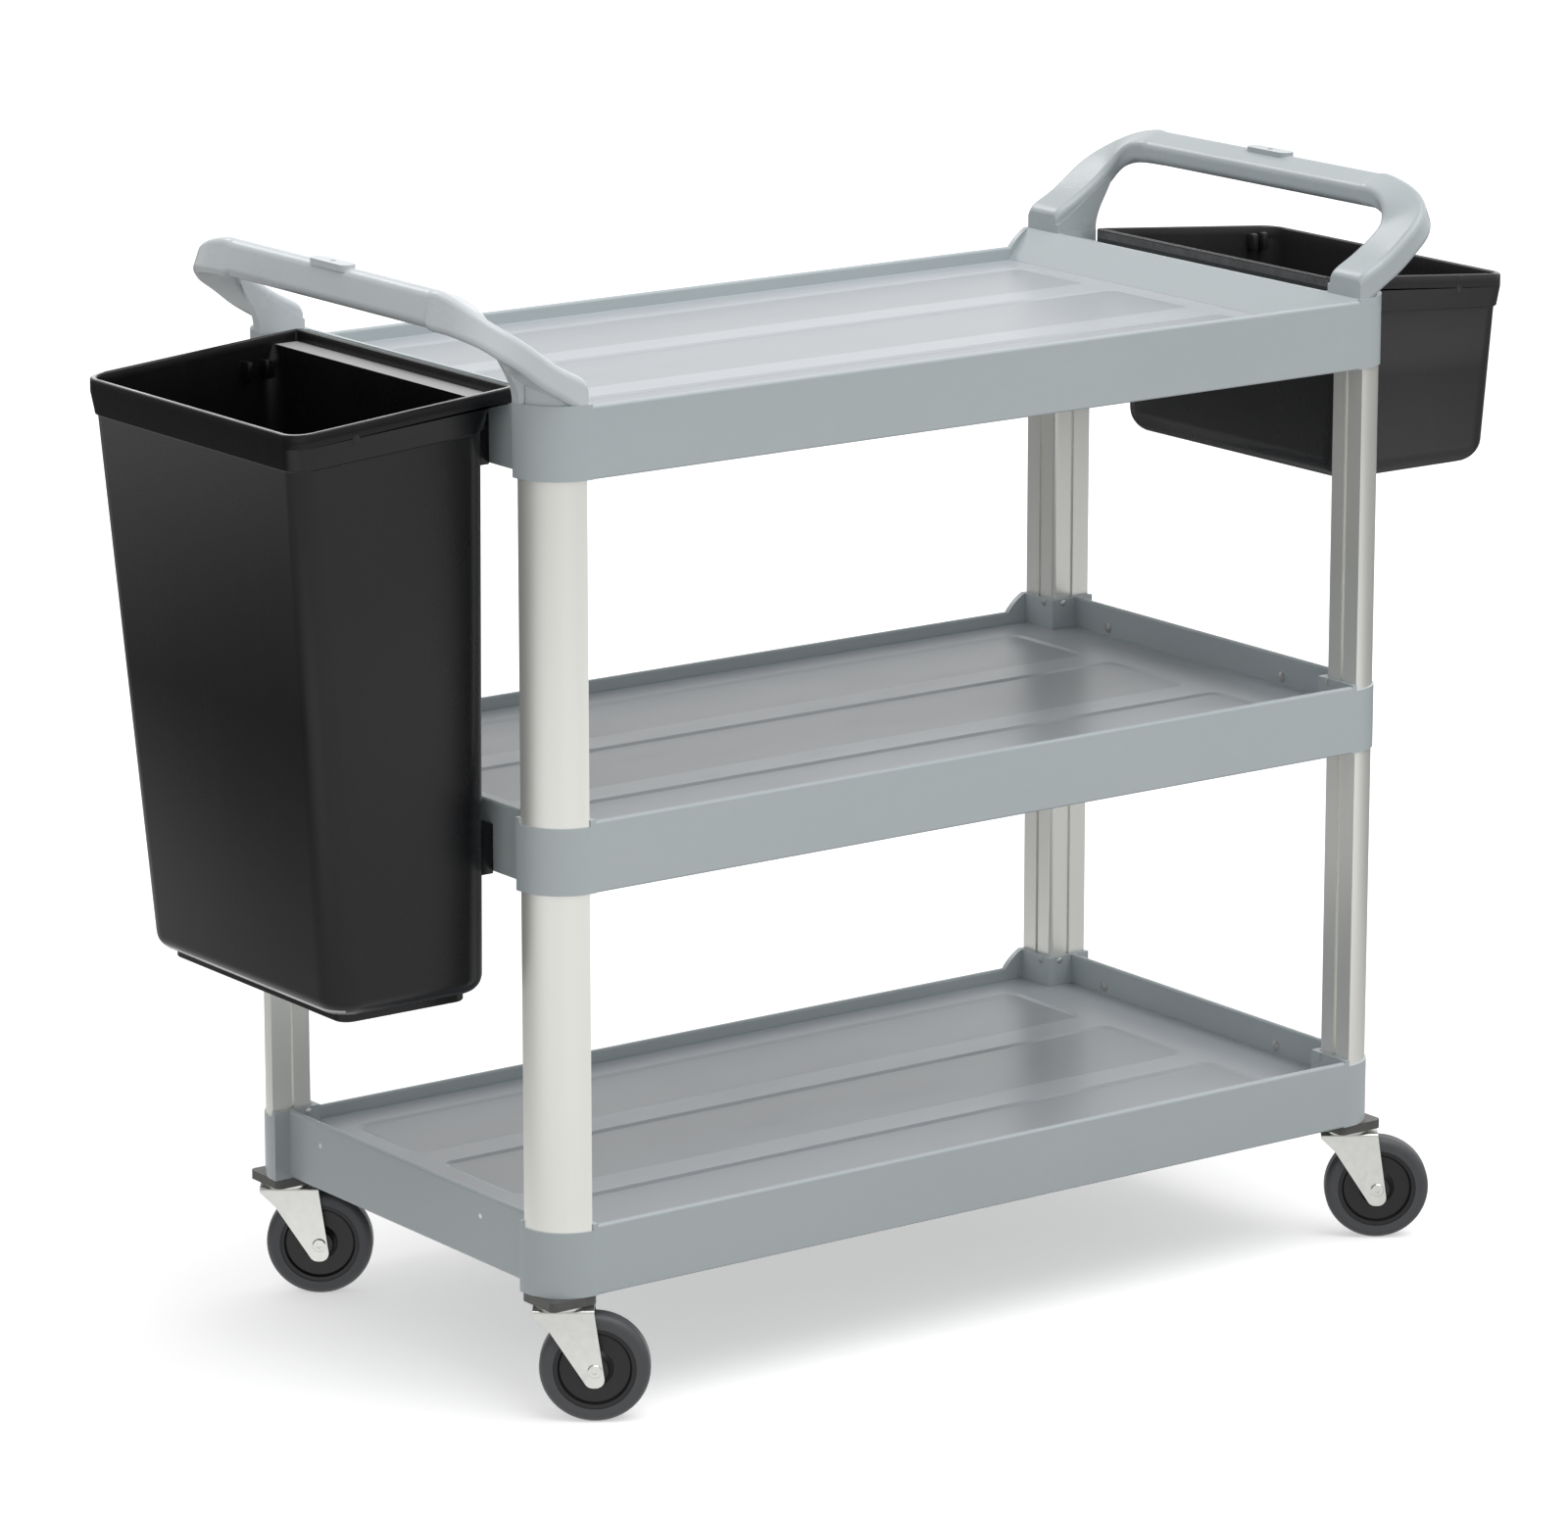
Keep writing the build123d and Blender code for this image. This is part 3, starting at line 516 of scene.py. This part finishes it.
sheenSlot, highlightSlot, litBandSlot = 1, 2, 3  # places in a bin's finishes, after the plain one
refuse = {
    "name": "refuse_bin",
    "side": -1,
    # after the plain black: the painted sheen, the painted highlights and the painted light of the
    # lip's band
    "finishes": (refuseBlack, paintedSheenGrey, paintedHighlightEdge, litBandGrey),
    "back": (0.479, 0.488),  # at the bottom, then at the rim
    "outer": (0.646, 0.6875),
    "half": (0.16, 0.1735),
    "corner": (0.03, 0.02),
    "leastCorner": 0.003,
    "bottom": 0.383,
    "bottomEdge": 0.016,
    "heightAt": 0.6,  # x at which the full height is measured, as the rim slopes
    "foot": (0.017, 0.021, 0.008),  # outer and inner inset, height
    "footRound": 0.001,
    "wall": 0.003,
    "rimBack": (0.4617, 0.930),  # x and height of the sloping rim at the cart
    "rimOuter": (0.690, 0.911),
    "collar": 0.033,
    "step": 0.0025,
    "stepEase": ((0.002, 0.0), (0.0005, 0.4), (0.0, 1.0)),  # below the collar, share of the step
    "ledge": 0.9159,
    "hanger": 0.4617,
    "lipRound": 0.005,
    "lipInsideRound": 0.0025,
    "lipDrops": (0.013, 0.009, 0.012),  # below the outer rim: foot, top of the band, inside
    "band": 0.005,  # height of the black strip under the lip's band, whose lighter grey is painted light
    "crown": 0.002,
    "hook": 0.014,
    "hookOverlap": 0.001,
    "hookInset": 0.002,
    "hookRound": 0.0008,
    "standoffs": ((0.8566, 0.9026), (0.4873, 0.5333)),  # lower and upper ends
    "standoffFrom": 0.4693,
    "standoffSeat": 0.6,  # share of the wall that a stand-off runs into
    "standoffY": 0.134,
    "standoffHalf": 0.011,
    "standoffRound": 0.0012,
    "pegs": ((0.503, 0.166), (0.522, 0.166)),  # moulded pegs inside the far wall
    "pegHalf": (0.004, 0.006),
    "pegEnds": (0.889, 0.907),
    "pegRound": 0.003,
    "tab": 0.627,  # x of the small tab on each side of the collar
    "tabHalf": 0.004,
    "tabDrops": (0.018, 0.001),  # lower and upper end, below the rim
    "tabDepth": (0.002, 0.0005),  # into the collar and out of it
    "tabRound": 0.0012,
    "highlightFrom": 0.632,  # x beyond which the painted highlights on the rim and the lower edge show
}
utility = {
    **refuse,
    "name": "utility_bin",
    "side": 1,
    "finishes": (utilityBlack, utilityBlack, utilityBlack, litBandGrey),
    "back": (0.488, 0.488),
    "outer": (0.679, 0.6875),
    "half": (0.169, 0.1735),
    "bottom": 0.727,
    "bottomEdge": 0.022,
    "foot": None,
    "standoffs": ((0.8566, 0.9026),),
    "pegs": ((0.655, 0.166), (0.668, 0.166)),
}
mesher = {
    "cornerSteps": 8,
    "edgeSteps": 8,
    "roundSteps": 6,
    "merge": 0.00001,
    "sharp": 35,  # degrees
}


def rimHeight(settings, x):
    (nearX, nearZ), (farX, farZ) = settings["rimBack"], settings["rimOuter"]
    return nearZ + (farZ - nearZ) * (x - nearX) / (farX - nearX)


def bodyHeight(settings):
    return rimHeight(settings, settings["heightAt"]) - settings["bottom"]


# a rounded rectangle whose height runs from backZ to outerZ
def hoop(settings, back, outer, half, corner, backRound, backZ, outerZ):
    points = []
    steps = mesher["cornerSteps"]
    for x, y, radius, start in (
        (outer, half, corner, 0), (back, half, backRound, 90),
        (back, -half, backRound, 180), (outer, -half, corner, 270),
    ):
        signX = 1 if x == outer else -1
        signY = 1 if y > 0 else -1
        for i in range(steps + 1):
            angle = math.radians(start + 90 * i / steps)
            px = x - signX * radius + radius * math.cos(angle)
            py = y - signY * radius + radius * math.sin(angle)
            share = (px - back) / (outer - back)
            points.append(Vector((settings["side"] * px, py, backZ + (outerZ - backZ) * share)))
    return points


# a section of the tapering body, whose share is 0 at the bottom and 1 at the rim
def bodyHoop(settings, share, inset, lift=0.0):
    def between(pair):
        return pair[0] + (pair[1] - pair[0]) * share
    back = between(settings["back"]) + inset
    outer = between(settings["outer"]) - inset
    half = between(settings["half"]) - inset
    corner = max(between(settings["corner"]) - inset, settings["leastCorner"])
    bottom = settings["bottom"]
    tops = [rimHeight(settings, settings[end][1]) for end in ("back", "outer")]
    backZ, outerZ = (bottom + (z - bottom) * share + lift for z in tops)
    return hoop(settings, back, outer, half, corner, corner, backZ, outerZ)


def footHoops(settings):
    if not settings["foot"]:
        return []
    outer, inner, height = settings["foot"]
    small = settings["footRound"]
    path = (
        (inner, 0), (inner, small - height), (inner - small, -height),
        (outer + small, -height), (outer, small - height), (outer, 0),
    )
    return [bodyHoop(settings, 0, inset, lift) for inset, lift in path]


def outsideHoops(settings):
    full, edge, steps = bodyHeight(settings), settings["bottomEdge"], mesher["edgeSteps"]
    hoops = []
    for i in range(steps + 1):
        angle = math.radians(90 * i / steps)
        rise = edge * (1 - math.cos(angle))
        hoops.append(bodyHoop(settings, rise / full, edge * (1 - math.sin(angle))))
    hoops.append(bodyHoop(settings, 0.5, 0))
    for below, out in settings["stepEase"]:
        share = 1 - (settings["collar"] + below) / full
        hoops.append(bodyHoop(settings, share, -settings["step"] * out))
    return hoops


def lipSize(settings):  # outer x, half width, corner, height of the outer rim
    outer = settings["rimOuter"][0]
    half = settings["half"][1] + settings["step"]
    return outer, half, settings["corner"][1], rimHeight(settings, outer)


def lipHoops(settings):
    outer, half, corner, outerZ = lipSize(settings)
    hanger, ledge = settings["hanger"], settings["ledge"]
    foot, bandTop, _ = settings["lipDrops"]
    return [
        hoop(settings, near, outer, half, corner, settings["lipRound"], nearZ, outerZ - drop)
        for near, nearZ, drop in (
            (settings["back"][1], ledge, foot),
            (hanger, ledge, foot),
            (hanger, ledge + settings["band"], bandTop),
        )
    ]


def crownHoops(settings):
    outer, half, corner, outerZ = lipSize(settings)
    hanger, around, steps = settings["hanger"], settings["lipRound"], mesher["roundSteps"]
    nearZ = rimHeight(settings, hanger)
    thick = settings["wall"] + settings["step"]
    hoops = []
    for i in range(steps + 1):
        angle = math.radians(180 * i / steps)
        inset = thick / 2 * (1 - math.cos(angle))
        drop = settings["crown"] * (1 - math.sin(angle))
        hoops.append(hoop(
            settings, hanger + inset, outer - inset, half - inset,
            corner - inset / 2, around - inset / 2, nearZ - drop, outerZ - drop,
        ))
    return hoops


def insideHoops(settings):
    outer, half, corner, outerZ = lipSize(settings)
    full, wall, steps = bodyHeight(settings), settings["wall"], mesher["roundSteps"]
    thick = wall + settings["step"]
    lowered = outerZ - settings["lipDrops"][2]
    hoops = [
        hoop(
            settings, near, outer - thick, half - thick, corner - wall,
            settings["lipInsideRound"], settings["ledge"] + wall, lowered,
        )
        for near in (settings["hanger"] + thick, settings["back"][1] + wall)
    ]
    hoops.append(bodyHoop(settings, 1 - settings["collar"] / full, wall))
    hoops.append(bodyHoop(settings, 0.5, wall))
    around = settings["bottomEdge"] - wall
    for i in range(steps + 1):
        angle = math.radians(90 * i / steps)
        rise = wall + around * (1 - math.sin(angle))
        hoops.append(bodyHoop(settings, rise / full, wall + around * (1 - math.cos(angle))))
    return hoops


def skin(mesh, hoops):  # one closed surface through all the hoops
    rows = [[mesh.verts.new(point) for point in row] for row in hoops]
    for low, high in zip(rows, rows[1:]):
        for i in range(len(low)):
            j = (i + 1) % len(low)
            mesh.faces.new((low[i], low[j], high[j], high[i]))
    mesh.faces.new(rows[0][::-1])
    mesh.faces.new(rows[-1])
    return rows


# gives the ledge and the front of the rim a painted sheen, the lip's band painted light, and the
# outer rim and the lower edge painted highlights
def coat(settings, mesh, rows, outside, crown, inside):
    side, wall, highlightFrom = settings["side"], settings["wall"], settings["highlightFrom"]
    third, half = mesher["roundSteps"] // 3, mesher["edgeSteps"] // 2

    def facesBetween(first, last):
        ring = set().union(*rows[first:last + 1])
        return [face for face in mesh.faces if set(face.verts) <= ring]

    # painted sheen: the ledge's top is coloured light grey
    for face in facesBetween(inside, inside + 1):
        if all(abs(vert.co.x) < settings["back"][1] + 2 * wall for vert in face.verts):
            face.material_index = sheenSlot
    # painted light: the lip's band at the hanger is coloured lighter grey
    for face in facesBetween(crown - 1, crown):
        if abs(face.calc_center_median().x) < settings["hanger"] + wall / 2:
            face.material_index = litBandSlot
    # the rim's top: a painted highlight at the outer end, a painted sheen along the front
    for face in facesBetween(crown + third, crown + 2 * third):
        middle = face.calc_center_median()
        if side * middle.x > highlightFrom:
            face.material_index = highlightSlot
        elif middle.y < 0:
            face.material_index = sheenSlot
    # a painted highlight along the lower edge's rounding at the outer end
    for face in facesBetween(outside + half, outside + half + 1):
        if side * face.calc_center_median().x > highlightFrom:
            face.material_index = highlightSlot


def box(mesh, low, high, bevel):
    made = bmesh.ops.create_cube(mesh, size=1)["verts"]
    for vert in made:
        spans = zip(low, high, vert.co)
        vert.co = Vector([(near + far) / 2 + place * (far - near) for near, far, place in spans])
    edges = {edge for vert in made for edge in vert.link_edges}
    bmesh.ops.bevel(mesh, geom=list(edges), offset=bevel, segments=2, affect="EDGES", profile=0.5)


def addFittings(settings, mesh):
    bottom, wall, ledge, hanger = (settings[name] for name in ("bottom", "wall", "ledge", "hanger"))
    half = lipSize(settings)[1]

    def sideBox(x, y, z, bevel):
        xs = sorted(settings["side"] * value for value in x)
        box(mesh, (xs[0], y[0], z[0]), (xs[1], y[1], z[1]), bevel)

    pegX, pegY = settings["pegHalf"]
    for x, y in settings["pegs"]:
        reach = (y - pegY, y + pegY)
        sideBox((x - pegX, x + pegX), reach, settings["pegEnds"], settings["pegRound"])
    tab, tabHalf = settings["tab"], settings["tabHalf"]
    inward, outward = settings["tabDepth"]
    heights = [rimHeight(settings, tab) - drop for drop in settings["tabDrops"]]
    for sign in (-1, 1):
        reach = sorted((sign * (half - inward), sign * (half + outward)))
        sideBox((tab - tabHalf, tab + tabHalf), reach, heights, settings["tabRound"])
    reach = (settings["hookInset"] - half, half - settings["hookInset"])
    heights = (ledge - settings["hook"], ledge + settings["hookOverlap"])
    sideBox((hanger, hanger + wall), reach, heights, settings["hookRound"])
    lowBack, highBack = settings["back"]
    for low, high in settings["standoffs"]:
        lean = (highBack - lowBack) * (low - bottom) / bodyHeight(settings)
        seat = lowBack + lean + wall * settings["standoffSeat"]
        for y in (-settings["standoffY"], settings["standoffY"]):
            reach = (y - settings["standoffHalf"], y + settings["standoffHalf"])
            sideBox((settings["standoffFrom"], seat), reach, (low, high), settings["standoffRound"])


def finishMesh(name, mesh, materials):
    bmesh.ops.remove_doubles(mesh, verts=mesh.verts, dist=mesher["merge"])
    bmesh.ops.recalc_face_normals(mesh, faces=mesh.faces)
    for face in mesh.faces:
        face.smooth = True
    for edge in mesh.edges:
        if len(edge.link_faces) == 2 and edge.calc_face_angle(0) > math.radians(mesher["sharp"]):
            edge.smooth = False
    data = bpy.data.meshes.new(name)
    mesh.to_mesh(data)
    mesh.free()
    for material in materials:
        data.materials.append(material)
    piece = bpy.data.objects.new(name, data)
    bpy.context.scene.collection.objects.link(piece)
    return piece


def makeBin(settings):
    mesh = bmesh.new()
    foot, outside, lip = footHoops(settings), outsideHoops(settings), lipHoops(settings)
    crown, inside = crownHoops(settings), insideHoops(settings)
    rows = skin(mesh, foot + outside + lip + crown + inside)
    firstCrown = len(foot + outside + lip)
    coat(settings, mesh, rows, len(foot), firstCrown, firstCrown + len(crown))
    addFittings(settings, mesh)
    return finishMesh(settings["name"] + "_shell", mesh, settings["finishes"])


for settings in (refuse, utility):
    shell = makeBin(settings)
    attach(shell, settings["name"] + "_body")
    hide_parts(settings["name"])
    print(settings["name"], "made")
